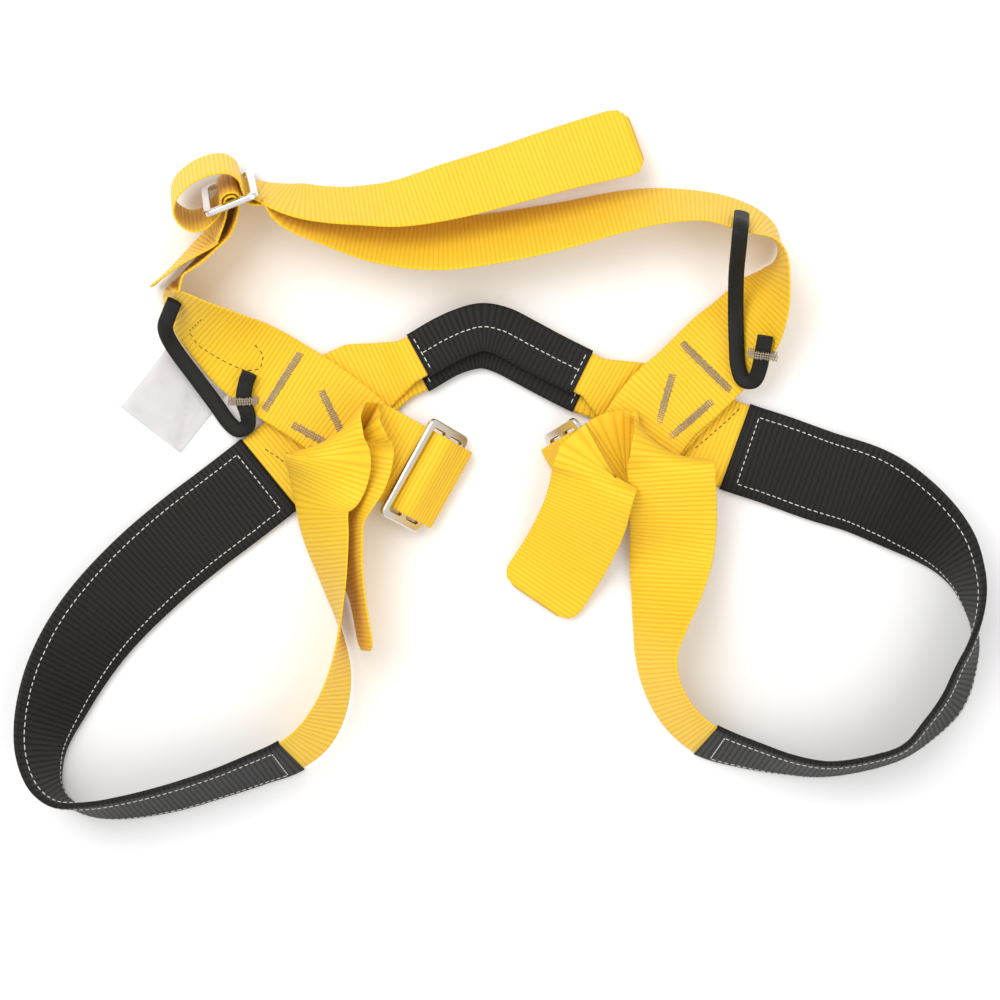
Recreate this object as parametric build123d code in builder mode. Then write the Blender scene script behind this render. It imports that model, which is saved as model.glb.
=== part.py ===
from build123d import *
import math
import os

# A webbing sit harness lying open on a flat surface, in millimetres, Z up. The origin is the middle of
# the harness on the surface. +X runs to the right hip, +Y runs from the leg loops to the waist belt.

# --- webbing -------------------------------------------------------------------------------------
webbing_width = 44.0
webbing_thickness = 1.4
layer_gap = 0.7
layer_pitch = webbing_thickness + layer_gap

# --- black tubular sleeves over the leg loops and the tie-in bridge ----------------------------------
sleeve_wall = 0.9
sleeve_clearance = 0.3
sleeve_width = webbing_width + 2 * (sleeve_wall + sleeve_clearance)
sleeve_height = webbing_thickness + 2 * (sleeve_wall + sleeve_clearance)

# --- folded strands of the tie-in bridge ---------------------------------------------------------------
bridge_width = 22.0
bridge_thickness = 3.6
bridge_sleeve_width = bridge_width + 2 * (sleeve_wall + sleeve_clearance)
bridge_sleeve_height = bridge_thickness + 2 * (sleeve_wall + sleeve_clearance)

# --- three-bar steel buckles ----------------------------------------------------------------------------
slot_end_clearance = 1.4
buckle_slot_length = webbing_width + 2 * slot_end_clearance
buckle_end_bar = 4.5
buckle_length = buckle_slot_length + 2 * buckle_end_bar
buckle_bar = 4.0
buckle_slot = 8.2
buckle_width = 3 * buckle_bar + 2 * buckle_slot
buckle_thickness = 3.0
buckle_edge_round = 0.9
buckle_corner = 4.0

# --- gear loops -------------------------------------------------------------------------------------------
gear_loop_width = 8.0
gear_loop_thickness = 3.0

# --- thread and label --------------------------------------------------------------------------------------
bartack_width = 4.2
bartack_height = 0.6
thread = 0.7
label_size = 38.0
label_thickness = 0.6

# --- sampling of the bands, and the shift that brings the middle of the harness to the origin ------------------
steps_per_span = 4
centring = Vector(1.2, -2.6, 0.15)

half_width = webbing_width / 2
sleeve_half = sleeve_height / 2


def resting_height(roll, lift):
    """Height of a band's middle when its lowest edge is lift above the surface."""
    lean = math.radians(roll)
    return lift + sleeve_width / 2 * abs(math.sin(lean)) + sleeve_half * abs(math.cos(lean))


def laid(stations):
    """Stations (x, y, lift, roll) as (point, across). Roll turns the band about its own run: 0 lies
    flat, +90 stands on its left edge, 180 lies on its other face."""
    placed = []
    for index, (x, y, lift, roll) in enumerate(stations):
        before = stations[max(index - 1, 0)]
        after = stations[min(index + 1, len(stations) - 1)]
        run = Vector(after[0] - before[0], after[1] - before[1], 0).normalized()
        right = Vector(run.Y, -run.X, 0)
        lean = math.radians(roll)
        across = right * math.cos(lean) + Vector(0, 0, 1) * math.sin(lean)
        placed.append((Vector(x, y, resting_height(roll, lift)), across))
    return placed


def threaded(plane, route, side=1):
    """Stations (s, n) in a buckle's own plane, s across its bars and n off its face."""
    return [(plane.origin + plane.x_dir * s + plane.z_dir * n, plane.y_dir * side) for s, n in route]


def smooth(values, gaps, t):
    """A value between the middle two of four, whose spacing along the band is gaps."""
    a, b, c, d = values
    first, middle, last = gaps
    leaving = (c - a) * (middle / (first + middle))
    arriving = (d - b) * (middle / (middle + last))
    return (
        b * (2 * t**3 - 3 * t**2 + 1)
        + leaving * (t**3 - 2 * t**2 + t)
        + c * (3 * t**2 - 2 * t**3)
        + arriving * (t**3 - t**2)
    )


def frames(stations):
    """Section planes along a band: x across the band, y off its face, z along its run."""
    points = [p for p, _ in stations]
    acrosses = [a for _, a in stations]
    mids, ups = [], []
    last = len(points) - 1
    for i in range(last):
        near = [max(i - 1, 0), i, i + 1, min(i + 2, last)]
        gaps = [(points[near[k + 1]] - points[near[k]]).length for k in range(3)]
        for step in range(steps_per_span):
            t = step / steps_per_span
            mids.append(smooth([points[k] for k in near], gaps, t))
            ups.append(smooth([acrosses[k] for k in near], gaps, t))
    mids.append(points[-1])
    ups.append(acrosses[-1])
    planes = []
    for i, mid in enumerate(mids):
        run = (mids[min(i + 1, len(mids) - 1)] - mids[max(i - 1, 0)]).normalized()
        across = (ups[i] - run * ups[i].dot(run)).normalized()
        planes.append(Plane(origin=mid + centring, x_dir=across, z_dir=run))
    return planes


# --- where the three buckles lie -------------------------------------------------------------------------------
def tilted_plane(x, y, z, heading, tilt):
    """A buckle's own plane: x across its bars going down at tilt, y along its bars, z off its face."""
    h, t = math.radians(heading), math.radians(tilt)
    across_bars = Vector(math.cos(h) * math.cos(t), math.sin(h) * math.cos(t), -math.sin(t))
    off_face = Vector(math.cos(h) * math.sin(t), math.sin(h) * math.sin(t), math.cos(t))
    return Plane(origin=(x, y, z), x_dir=across_bars, z_dir=off_face)


def standing_plane(x, y, z, heading, lean):
    """The waist buckle's plane: x level across its bars, y along its bars and leaning back."""
    h, l = math.radians(heading), math.radians(lean)
    across_bars = Vector(math.cos(h), math.sin(h), 0)
    along_bars = Vector(math.sin(h) * math.cos(l), -math.cos(h) * math.cos(l), math.sin(l))
    return Plane(origin=(x, y, z), x_dir=across_bars, z_dir=along_bars.cross(across_bars))


left_buckle = tilted_plane(-41.5, -4, 15.5, -29, 42)
right_buckle = tilted_plane(40.5, -3, 16.5, 210, 52)
waist_buckle_plane = standing_plane(-139, 138, 28, 22, 68)

# --- how webbing runs through a buckle, in the buckle's own plane (s, n) ---------------------------------------------
centre_half = buckle_bar / 2
face = buckle_thickness / 2
keeper_side = centre_half + 0.5 + webbing_thickness / 2
keeper_top = face + 0.5 + webbing_thickness / 2
second_side = keeper_side + layer_pitch
second_top = keeper_top + layer_pitch
third_side = second_side + layer_pitch
third_top = second_top + layer_pitch
outer_bar = centre_half + buckle_slot + buckle_bar / 2
under = -(face + 0.4 + webbing_thickness / 2)

keeper_turn = [
    (-keeper_side - 2.4, -5.0),
    (-keeper_side - 0.5, -2),
    (-keeper_side, 0.6),
    (-keeper_side + 1.3, keeper_top - 0.3),
    (0, keeper_top),
    (keeper_side - 1.3, keeper_top - 0.3),
    (keeper_side, 0.6),
    (keeper_side - 0.4, -2.2),
    (0.6, -4.3),
    (-3.0, -7.4),
]
strap_over = [
    (-outer_bar, under),
    (-third_side - 1.2, -2.0),
    (-third_side, 0.6),
    (-third_side + 1, 4.0),
    (-second_side + 1.6, third_top - 0.7),
    (-1.5, third_top),
    (4, third_top - 0.6),
    (10, 5.2),
    (14, 5.0),
    (17.3, 3.4),
    (18.2, 0.6),
    (16.6, -2.0),
    (13.2, under - 0.1),
    (9.2, -2.2),
    (second_side + 0.4, 0.8),
    (second_side - 1.6, 3.9),
    (0, second_top),
    (-second_side + 1.6, 3.9),
    (-second_side - 0.1, 0.6),
    (-second_side - 1.9, -3.0),
]
waist_in = [
    (19, -9.4),
    (outer_bar, -6.6),
    (second_side + 2.4, -3.9),
    (second_side + 0.1, -0.4),
    (second_side - 1.4, 3.3),
    (0, second_top),
    (-second_side + 1.4, 3.3),
    (-second_side, 0),
    (-second_side - 1.8, -3.2),
    (-11.5, -5.6),
    (-17, -7.6),
    (-23, -6.4),
    (-27.5, -1),
    (-28, 6),
    (-23, 12.5),
    (-14, 16),
    (-4, 16.5),
    (4, 14),
    (third_side + 0.4, 8.6),
    (third_side + 0.1, 3.2),
    (third_side + 0.6, -0.4),
    (outer_bar - 1, under - 0.4),
    (outer_bar + 3, -5.6),
]
waist_keeper = [
    (-16.4, -17.6),
    (-11, -12.6),
    (-5.6, -6.2),
    (-keeper_side - 0.2, -2),
    (-keeper_side, 0.6),
    (-keeper_side + 1.3, keeper_top - 0.3),
    (0, keeper_top),
    (keeper_side - 1.3, keeper_top - 0.3),
    (keeper_side, 0.6),
    (keeper_side - 0.2, -2.2),
    (1.2, -6.4),
    (-4.6, -13.4),
    (-10.8, -17.8),
]

# --- where the bands lie: x, y, lift of the lowest edge, roll ---------------------------------------------------------
hip_3 = 2 * layer_pitch
hip_4 = 3 * layer_pitch


def held(x, y, z, aim, lean):
    """One station whose across direction has its own plan angle and its own slope."""
    a, l = math.radians(aim), math.radians(lean)
    across = Vector(math.cos(a) * math.cos(l), math.sin(a) * math.cos(l), math.sin(l))
    return (Vector(x, y, z), across)


def approach(plane, route, side=1):
    """Stations (u, v, z) beside a buckle: u level along its webbing, v along its bars, z the height."""
    along = Vector(plane.x_dir.X, plane.x_dir.Y, 0).normalized()
    return [
        (
            Vector(plane.origin.X, plane.origin.Y, z) + along * u + plane.y_dir * v,
            plane.y_dir * side,
        )
        for u, v, z in route
    ]


def turned(x, y, z, heading, axis, slope, radius, rise, side=1):
    """Stations of a band that curls half a turn about a line at axis, rising (+1) or falling (-1)."""
    a, l, h = math.radians(axis), math.radians(slope), math.radians(heading)
    line = Vector(math.cos(a) * math.cos(l), math.sin(a) * math.cos(l), math.sin(l))
    outward = Vector(-math.sin(a), math.cos(a), 0)
    if math.cos(h) * outward.X + math.sin(h) * outward.Y < 0:
        outward = outward * -1
    upward = line.cross(outward)
    if upward.Z < 0:
        upward = upward * -1
    meeting = math.atan2(math.cos(h) * outward.X + math.sin(h) * outward.Y, math.cos(h - a))
    placed = []
    for quarter in range(5):
        bend = quarter * math.pi / 4
        point = (
            Vector(x, y, z)
            + line * (radius * bend / math.tan(meeting))
            + outward * (radius * math.sin(bend))
            + upward * (rise * radius * (1 - math.cos(bend)))
        )
        run = line * math.cos(meeting) + (
            outward * math.cos(bend) + upward * (rise * math.sin(bend))
        ) * math.sin(meeting)
        off_face = upward * math.cos(bend) - outward * (rise * math.sin(bend))
        placed.append((point, run.cross(off_face) * side))
    return placed


left_leg_run = laid(
    [
        (-83, 29, 0, 0),
        (-102, 13, 0, 0),
        (-121, -3, 0, 0),
        (-140, -18, 0, 3),
        (-161, -34, 0, 6),
        (-183, -53, 0, 14),
        (-204, -75, 0, 24),
        (-218, -95, 0, 34),
        (-228, -116, 0, 47),
        (-234, -137, 0, 64),
        (-233, -155, 0, 78),
        (-226, -167, 0, 91),
        (-213, -172, 0, 102),
        (-196, -172, 0, 107),
        (-170, -167, 0, 110),
        (-144, -159, 0, 111),
        (-125, -152, 0, 113),
        (-110, -146, 0, 115),
        (-98, -137, 0, 115),
        (-89, -122, 0, 110),
        (-84, -103, 0, 101),
        (-84, -80, 0, 86),
        (-87, -58, 0, 70),
        (-91, -35, 3, 55),
        (-93, -16, 7, 46),
    ]
)
left_leg_fold = turned(-89, 3, 34.6, 95, 33, 12, 9, -1)
left_tail = turned(-71, 12.5, 21.6, 151, 213, -12, 4, 1) + laid(
    [
        (-81, -22, 0, 122),
        (-80, -44, 0, 114),
        (-75, -66, 0, 104),
        (-70.5, -92, 0, 103),
    ]
)
left_leg_path = (
    left_leg_run
    + left_leg_fold
    + approach(left_buckle, [(-22, 0, 15.8), (-14, 0, 17.4)])
    + threaded(left_buckle, strap_over[::-1])
    + approach(left_buckle, [(-17, 0, 21)])
    + left_tail
)

right_leg_run = laid(
    [
        (82, 27, 0, 0),
        (100, 18, 0, 0),
        (117, 11, 0, 0),
        (138, 4, 0, -3),
        (160, -4, 0, -6),
        (184, -12, 0, -14),
        (206, -25, 0, -38),
        (222, -39, 0, -58),
        (231, -54, 0, -75),
        (235, -69, 0, -88),
        (235.5, -86, 0, -103),
        (231, -103, 0, -112),
        (225, -118, 0, -114),
        (213, -132, 0, -110),
        (200, -143, 0, -104),
        (182, -149, 0, -103),
        (161, -152, 0, -103),
        (143, -150, 0, -105),
        (123, -145, 0, -110),
        (102, -138, 0, -114),
        (92, -131, 0, -114),
        (83, -120, 0, -113),
        (77, -106, 0, -113),
        (75.5, -93, 0, -116),
        (77.5, -80, 0, -124),
        (81, -63, 1, -140),
        (83.5, -44, 5, -160),
    ]
)
right_leg_fold = [held(84, -24, 23, 180, -3)] + turned(82.5, -1, 30, 95, 150, 0, 7, -1, -1)
right_tail = threaded(
    right_buckle,
    [
        (-outer_bar - 3.2, under + 0.6),
        (-outer_bar - 4.8, 0.6),
        (-outer_bar - 3.6, 3.8),
    ],
    -1,
) + [
    held(43.5, -8, 32, 128, 0),
    held(39.5, -24, 24, 142, 0),
    held(33, -39, 14, 147, 0),
    held(25, -53, 6.5, 147, 0),
    held(15, -68, 3, 144, 0),
]
right_leg_path = (
    right_leg_run
    + right_leg_fold
    + approach(right_buckle, [(-20, 0, 17.6), (-12.5, 0, 20)], -1)
    + threaded(right_buckle, strap_over[::-1], -1)
    + right_tail
)

belt_hip_end = laid([(94, 43, hip_3, 180), (81, 30, hip_3, 180)]) + approach(
    right_buckle, [(-27, 0, 8.2), (-18, 0, 11), (-9.5, 0, 13.2)]
)
belt_run = laid(
    [
        (79, 30.5, hip_4, 0),
        (94, 44, hip_4, 0),
        (109, 59, 4, 8),
        (121, 71, 0, 28),
        (131, 86, 0, 54),
        (136.5, 99, 0, 78),
        (137.5, 110, 0, 94),
        (131, 120, 0, 110),
        (118, 127, 0, 116),
        (98, 132, 0, 116),
        (68, 131, 0, 122),
        (27, 122, 0, 128),
        (-6, 116, 0, 131),
        (-35, 113, 0, 132),
        (-64, 116, 0, 130),
        (-90, 123, 2, 124),
        (-108, 129, 4, 118),
    ]
)
waist_tail = laid(
    [
        (-106, 134.5, 5, 62),
        (-92, 132.5, 3, 60),
        (-77, 132, 1, 58),
        (-54, 133.5, 0, 51),
        (-28, 140, 0, 43),
        (0, 148, 0, 40),
        (31, 157.5, 0, 36),
        (66, 167, 0, 30),
    ]
)
long_path = (
    belt_hip_end
    + threaded(right_buckle, keeper_turn[::-1])
    + approach(right_buckle, [(-10.5, 0, 16.6), (-18, 0, 13.8), (-27, 0, 10.6)])
    + belt_run
    + threaded(waist_buckle_plane, waist_in, -1)
    + waist_tail
)

short_raw_end = laid([(-178, 91.5, 1, 82), (-168.5, 99.5, 1, 80), (-160, 106.5, 0, 76)])
short_run = laid(
    [
        (-153, 106, 0, 104),
        (-163, 97, 0, 100),
        (-169, 88, 0, 106),
        (-161.5, 78, 0, 118),
        (-146, 65.5, 0, 138),
        (-131, 55, 3, 160),
        (-114, 44, hip_4, 178),
        (-98, 34, hip_4, 180),
        (-82, 22, hip_4, 180),
    ]
) + approach(left_buckle, [(-36, 0, 8.4), (-27, 0, 9.4), (-18, 0, 12.2), (-10.5, 0, 14.2)])
short_hip_end = approach(left_buckle, [(-10.5, 0, 11.2), (-18, 0, 9.4), (-27, 0, 7), (-36, 0, 6.3)]) + laid(
    [(-81, 21, hip_3, 0), (-97, 32.5, hip_3, 0), (-113, 43, hip_3, 0)]
)
short_path = (
    short_raw_end
    + threaded(waist_buckle_plane, waist_keeper, -1)
    + short_run
    + threaded(left_buckle, keeper_turn)
    + short_hip_end
)

bridge_upper_path = laid(
    [
        (-96, 30, layer_pitch, 0),
        (-84, 38, layer_pitch, 0),
        (-73, 44, 2.1, 0),
        (-62, 49, 3.2, 0),
        (-51, 54, 7.0, 0),
        (-44, 57.5, 7.6, 0),
        (-32, 64.5, 8.0, 0),
        (-22, 69, 8.8, 0),
        (-12, 71.5, 9.4, 0),
        (-2, 69.5, 9.0, 0),
        (8, 64.5, 8.4, 0),
        (23, 56.5, 7.8, 0),
        (37, 49.5, 7.6, 0),
        (44, 46, 6.8, 0),
        (52, 41.5, 4.8, 0),
        (62, 36, 2.2, 0),
        (74, 29, 1.9, 0),
        (88, 21, 1.9, 0),
    ]
)
bridge_upper_widths = [44, 44, 42, 32, 23] + [22] * 9 + [30, 40, 44, 44]
bridge_lower_path = laid(
    [
        (-81.6, 30.2, 0, 0),
        (-72, 38, 0, 0),
        (-62, 43.4, 0.4, 0),
        (-52, 47, 1, 0),
        (-44, 50.5, 1.1, 0),
        (-32, 57.5, 1.1, 0),
        (-22, 61.5, 1.1, 0),
        (-12, 63, 1.1, 0),
        (-2, 60.5, 1.1, 0),
        (8, 55.5, 1.1, 0),
        (23, 47.5, 1.1, 0),
        (37, 40.5, 1.1, 0),
        (45, 37.2, 1, 0),
        (56, 35.6, 0.4, 0),
        (67, 33.6, 0, 0),
        (80.4, 27.8, 0, 0),
    ]
)
bridge_lower_widths = [44, 42, 31, 23] + [22] * 8 + [23, 31, 42, 44]
upper_sleeve_span = (5, 12)
lower_sleeve_span = (4, 11)
left_sleeve_span = (2, 17)
right_sleeve_span = (2, 19)


def routed(points):
    """A gear loop's path through points, with its flat side kept level across its run."""
    placed = []
    for index, (x, y, z) in enumerate(points):
        before = points[max(index - 1, 0)]
        after = points[min(index + 1, len(points) - 1)]
        run = Vector(after[0] - before[0], after[1] - before[1], 0).normalized()
        placed.append((Vector(x, y, z), Vector(run.Y, -run.X, 0)))
    return placed


gear_loop_left_path = routed(
    [
        (-166, 83, 31),
        (-169.5, 77, 25),
        (-172.5, 70, 17),
        (-169, 61, 10),
        (-159, 47, 6.4),
        (-148, 32, 4.6),
        (-142, 23.5, 4),
        (-137, 19.5, 4.6),
        (-132, 21.5, 6.6),
        (-131.6, 27.5, 10.4),
        (-133.5, 34, 12),
        (-132, 43, 13.6),
        (-130, 48, 15.2),
    ]
)
gear_loop_right_path = routed(
    [
        (118, 127.4, 28.5),
        (117.2, 124, 36),
        (116.3, 120.6, 43),
        (115.5, 115.5, 46),
        (115.3, 109, 41),
        (115.4, 97, 27),
        (116, 80, 17.4),
        (116.6, 62, 15.6),
        (117.4, 51, 15.4),
        (120, 44.5, 16),
        (125, 44, 18),
        (127.6, 50, 21.4),
        (128.6, 57, 25),
        (130, 66, 27.6),
    ]
)


# --- solids -----------------------------------------------------------------------------------------------------------
def spread(widths):
    """One width for each section plane, from one width for each station."""
    values = []
    for i in range(len(widths) - 1):
        for step in range(steps_per_span):
            values.append(widths[i] + (widths[i + 1] - widths[i]) * step / steps_per_span)
    return values + [widths[-1]]


def rings(planes, outlines):
    """The corner points of one outline on each section plane."""
    return [
        [plane.from_local_coords(Vector(u, v, 0)) for u, v in outline]
        for plane, outline in zip(planes, outlines)
    ]


def between(first, second):
    """Faces joining two rings of corners, one for each side."""
    sides = []
    for k in range(len(first)):
        after = (k + 1) % len(first)
        near_edge = Edge.make_line(first[k], first[after])
        far_edge = Edge.make_line(second[k], second[after])
        sides.append(Face.make_surface_from_curves(near_edge, far_edge))
    return sides


def skinned(sections):
    """A closed solid skinned along its rings of corners, with flat ends."""
    faces = [Face(Wire.make_polygon(ring, close=True)) for ring in (sections[0], sections[-1])]
    for first, second in zip(sections, sections[1:]):
        faces += between(first, second)
    return Solid(Shell(faces))


def flat_outline(width, thickness, offset=0, lift=0):
    """Corners of a flat band's section."""
    x, y = width / 2, thickness / 2
    return [(offset - x, lift - y), (offset + x, lift - y), (offset + x, lift + y), (offset - x, lift + y)]


def eased_outline(width, height, corner):
    """Corners of a flat section whose four corners are cut back."""
    x, y = width / 2, height / 2
    return [
        (-x + corner, -y),
        (x - corner, -y),
        (x, -y + corner),
        (x, y - corner),
        (x - corner, y),
        (-x + corner, y),
        (-x, y - corner),
        (-x, -y + corner),
    ]


def band(planes, widths):
    """A flat band that keeps its amount of cloth where it is folded narrower."""
    outlines = [
        flat_outline(width, min(webbing_thickness * webbing_width / width, bridge_thickness))
        for width in widths
    ]
    with BuildPart() as made:
        add(skinned(rings(planes, outlines)), clean=False)
    return made


def tube(planes, width, height):
    """A flat sleeve open at both ends."""
    inside = [eased_outline(width - 2 * sleeve_wall, height - 2 * sleeve_wall, 0.3)] * len(planes)
    outer = rings(planes, [eased_outline(width, height, 1.0)] * len(planes))
    inner = rings(planes, inside)
    faces = between(outer[0], inner[0]) + between(outer[-1], inner[-1])
    for rows in (outer, inner):
        for first, second in zip(rows, rows[1:]):
            faces += between(first, second)
    with BuildPart() as made:
        add(Solid(Shell(faces)), clean=False)
    return made


def rope(planes):
    """A gear loop's flat tube, with an oval section."""
    turns = [k * math.pi / 6 for k in range(12)]
    oval = [(gear_loop_width / 2 * math.cos(t), gear_loop_thickness / 2 * math.sin(t)) for t in turns]
    with BuildPart() as made:
        add(skinned(rings(planes, [oval] * len(planes))), clean=False)
    return made


def shifted(plane):
    """The same plane after the harness is centred on the origin."""
    return Plane(origin=plane.origin + centring, x_dir=plane.x_dir, z_dir=plane.z_dir)


def buckle(plane):
    """A flat steel plate with two slots, so three bars, with all its edges rounded."""
    with BuildPart() as made:
        with BuildSketch(shifted(plane)):
            RectangleRounded(buckle_width, buckle_length, buckle_corner)
            with Locations((-(buckle_bar + buckle_slot) / 2, 0), ((buckle_bar + buckle_slot) / 2, 0)):
                RectangleRounded(buckle_slot, buckle_slot_length, 1.2, mode=Mode.SUBTRACT)
        extrude(amount=buckle_thickness / 2, both=True)
        for end in (-1, 0):
            flat_face = made.faces().sort_by(Axis((0, 0, 0), plane.z_dir))[end]
            fillet(flat_face.edges(), buckle_edge_round)
    return made


def bartack_down(x, y, heading, length, low, high):
    """A bar of dense stitching straight down through the layers at a hip."""
    with BuildPart() as made:
        with Locations(Location((x + centring.X, y + centring.Y, (low + high) / 2), (0, 0, heading))):
            Box(length, bartack_width, high - low)
    return made


def bartack_across(plane, length, below, above):
    """A bar of dense stitching across a band or a gear loop, through it from one face to the other."""
    with BuildPart() as made:
        with BuildSketch(plane):
            with Locations((0, (above - below) / 2)):
                Rectangle(length, above + below)
        extrude(amount=bartack_width / 2, both=True)
    return made


def stitch_rows(planes, offsets, height):
    """Rows of thread sunk in both faces of a sleeve, each offset from its middle."""
    off_face = height / 2 - thread / 4
    with BuildPart() as made:
        for offset in offsets:
            for lift in (-off_face, off_face):
                outline = flat_outline(thread, thread / 2, offset, lift)
                add(skinned(rings(planes, [outline] * len(planes))), clean=False)
    return made


def span(path, stations):
    """Section planes between two stations of a path."""
    return frames(path)[stations[0] * steps_per_span : stations[1] * steps_per_span + 1]


os.makedirs("parts", exist_ok=True)

leg_webbing_left = band(frames(left_leg_path), spread([webbing_width] * len(left_leg_path)))
leg_webbing_left.part.label = "leg_webbing_left"
export_step(leg_webbing_left.part, "parts/leg_webbing_left.step")

leg_webbing_right = band(frames(right_leg_path), spread([webbing_width] * len(right_leg_path)))
leg_webbing_right.part.label = "leg_webbing_right"
export_step(leg_webbing_right.part, "parts/leg_webbing_right.step")

waist_belt_long = band(frames(long_path), spread([webbing_width] * len(long_path)))
waist_belt_long.part.label = "waist_belt_long"
export_step(waist_belt_long.part, "parts/waist_belt_long.step")

waist_belt_short = band(frames(short_path), spread([webbing_width] * len(short_path)))
waist_belt_short.part.label = "waist_belt_short"
export_step(waist_belt_short.part, "parts/waist_belt_short.step")

bridge_webbing_upper = band(frames(bridge_upper_path), spread(bridge_upper_widths))
bridge_webbing_upper.part.label = "bridge_webbing_upper"
export_step(bridge_webbing_upper.part, "parts/bridge_webbing_upper.step")

bridge_webbing_lower = band(frames(bridge_lower_path), spread(bridge_lower_widths))
bridge_webbing_lower.part.label = "bridge_webbing_lower"
export_step(bridge_webbing_lower.part, "parts/bridge_webbing_lower.step")

leg_sleeve_left = tube(span(left_leg_path, left_sleeve_span), sleeve_width, sleeve_height)
leg_sleeve_left.part.label = "leg_sleeve_left"
export_step(leg_sleeve_left.part, "parts/leg_sleeve_left.step")

leg_sleeve_right = tube(span(right_leg_path, right_sleeve_span), sleeve_width, sleeve_height)
leg_sleeve_right.part.label = "leg_sleeve_right"
export_step(leg_sleeve_right.part, "parts/leg_sleeve_right.step")

bridge_sleeve_upper = tube(
    span(bridge_upper_path, upper_sleeve_span), bridge_sleeve_width, bridge_sleeve_height
)
bridge_sleeve_upper.part.label = "bridge_sleeve_upper"
export_step(bridge_sleeve_upper.part, "parts/bridge_sleeve_upper.step")

bridge_sleeve_lower = tube(
    span(bridge_lower_path, lower_sleeve_span), bridge_sleeve_width, bridge_sleeve_height
)
bridge_sleeve_lower.part.label = "bridge_sleeve_lower"
export_step(bridge_sleeve_lower.part, "parts/bridge_sleeve_lower.step")

leg_buckle_left = buckle(left_buckle)
leg_buckle_left.part.label = "leg_buckle_left"
export_step(leg_buckle_left.part, "parts/leg_buckle_left.step")

leg_buckle_right = buckle(right_buckle)
leg_buckle_right.part.label = "leg_buckle_right"
export_step(leg_buckle_right.part, "parts/leg_buckle_right.step")

waist_buckle = buckle(waist_buckle_plane)
waist_buckle.part.label = "waist_buckle"
export_step(waist_buckle.part, "parts/waist_buckle.step")

gear_loop_left = rope(frames(gear_loop_left_path))
gear_loop_left.part.label = "gear_loop_left"
export_step(gear_loop_left.part, "parts/gear_loop_left.step")

gear_loop_right = rope(frames(gear_loop_right_path))
gear_loop_right.part.label = "gear_loop_right"
export_step(gear_loop_right.part, "parts/gear_loop_right.step")

left_belt_planes = frames(short_path)
left_belt_bar = len(short_raw_end) + len(waist_keeper) + 6
right_belt_planes = frames(long_path)
right_belt_bar = len(belt_hip_end) + len(keeper_turn) + 3 + 1.5
stack_low = layer_gap / 2
stack_high = hip_4 + sleeve_half + webbing_thickness / 2 + bartack_height

bartack_hip_left_1 = bartack_across(
    left_belt_planes[left_belt_bar * steps_per_span],
    34,
    webbing_thickness / 2 + bartack_height,
    webbing_thickness / 2 + bartack_height,
)
bartack_hip_left_1.part.label = "bartack_hip_left_1"
export_step(bartack_hip_left_1.part, "parts/bartack_hip_left_1.step")

bartack_hip_left_2 = bartack_down(-88, 26.5, 116, 28, stack_low, stack_high)
bartack_hip_left_2.part.label = "bartack_hip_left_2"
export_step(bartack_hip_left_2.part, "parts/bartack_hip_left_2.step")

bartack_hip_left_3 = bartack_down(-98, 16, -28.6, 25, stack_low, stack_high)
bartack_hip_left_3.part.label = "bartack_hip_left_3"
export_step(bartack_hip_left_3.part, "parts/bartack_hip_left_3.step")

bartack_hip_right_1 = bartack_across(
    right_belt_planes[int(right_belt_bar * steps_per_span)],
    34,
    webbing_thickness / 2 + bartack_height,
    webbing_thickness / 2 + bartack_height,
)
bartack_hip_right_1.part.label = "bartack_hip_right_1"
export_step(bartack_hip_right_1.part, "parts/bartack_hip_right_1.step")

bartack_hip_right_2 = bartack_down(80.5, 33, 74, 30, stack_low, stack_high)
bartack_hip_right_2.part.label = "bartack_hip_right_2"
export_step(bartack_hip_right_2.part, "parts/bartack_hip_right_2.step")

bartack_hip_right_3 = bartack_down(94, 24.5, 41, 28, stack_low, stack_high)
bartack_hip_right_3.part.label = "bartack_hip_right_3"
export_step(bartack_hip_right_3.part, "parts/bartack_hip_right_3.step")

left_loop_planes = frames(gear_loop_left_path)
right_loop_planes = frames(gear_loop_right_path)
loop_bar_below = gear_loop_thickness / 2 + 2.4
loop_bar_above = gear_loop_thickness / 2 + bartack_height

bartack_gear_left = bartack_across(
    left_loop_planes[-2 * steps_per_span - 1], 15, loop_bar_below, loop_bar_above
)
bartack_gear_left.part.label = "bartack_gear_left"
export_step(bartack_gear_left.part, "parts/bartack_gear_left.step")

bartack_gear_right = bartack_across(
    right_loop_planes[-steps_per_span - 1], 15, loop_bar_below, loop_bar_above
)
bartack_gear_right.part.label = "bartack_gear_right"
export_step(bartack_gear_right.part, "parts/bartack_gear_right.step")

row = sleeve_width / 2 - 5
sleeve_stitching_left = stitch_rows(span(left_leg_path, left_sleeve_span), (-row, row), sleeve_height)
sleeve_stitching_left.part.label = "sleeve_stitching_left"
export_step(sleeve_stitching_left.part, "parts/sleeve_stitching_left.step")

sleeve_stitching_right = stitch_rows(span(right_leg_path, right_sleeve_span), (-row, row), sleeve_height)
sleeve_stitching_right.part.label = "sleeve_stitching_right"
export_step(sleeve_stitching_right.part, "parts/sleeve_stitching_right.step")

with BuildPart() as size_label:
    with Locations(Location((-170.5 + centring.X, 34.5 + centring.Y, 0.7), (0, 0, -37.7))):
        Box(label_size, label_size, label_thickness)
size_label.part.label = "size_label"
export_step(size_label.part, "parts/size_label.step")
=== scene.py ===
import math
import random

import bmesh
import bpy
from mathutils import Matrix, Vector
from mathutils.kdtree import KDTree


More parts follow.
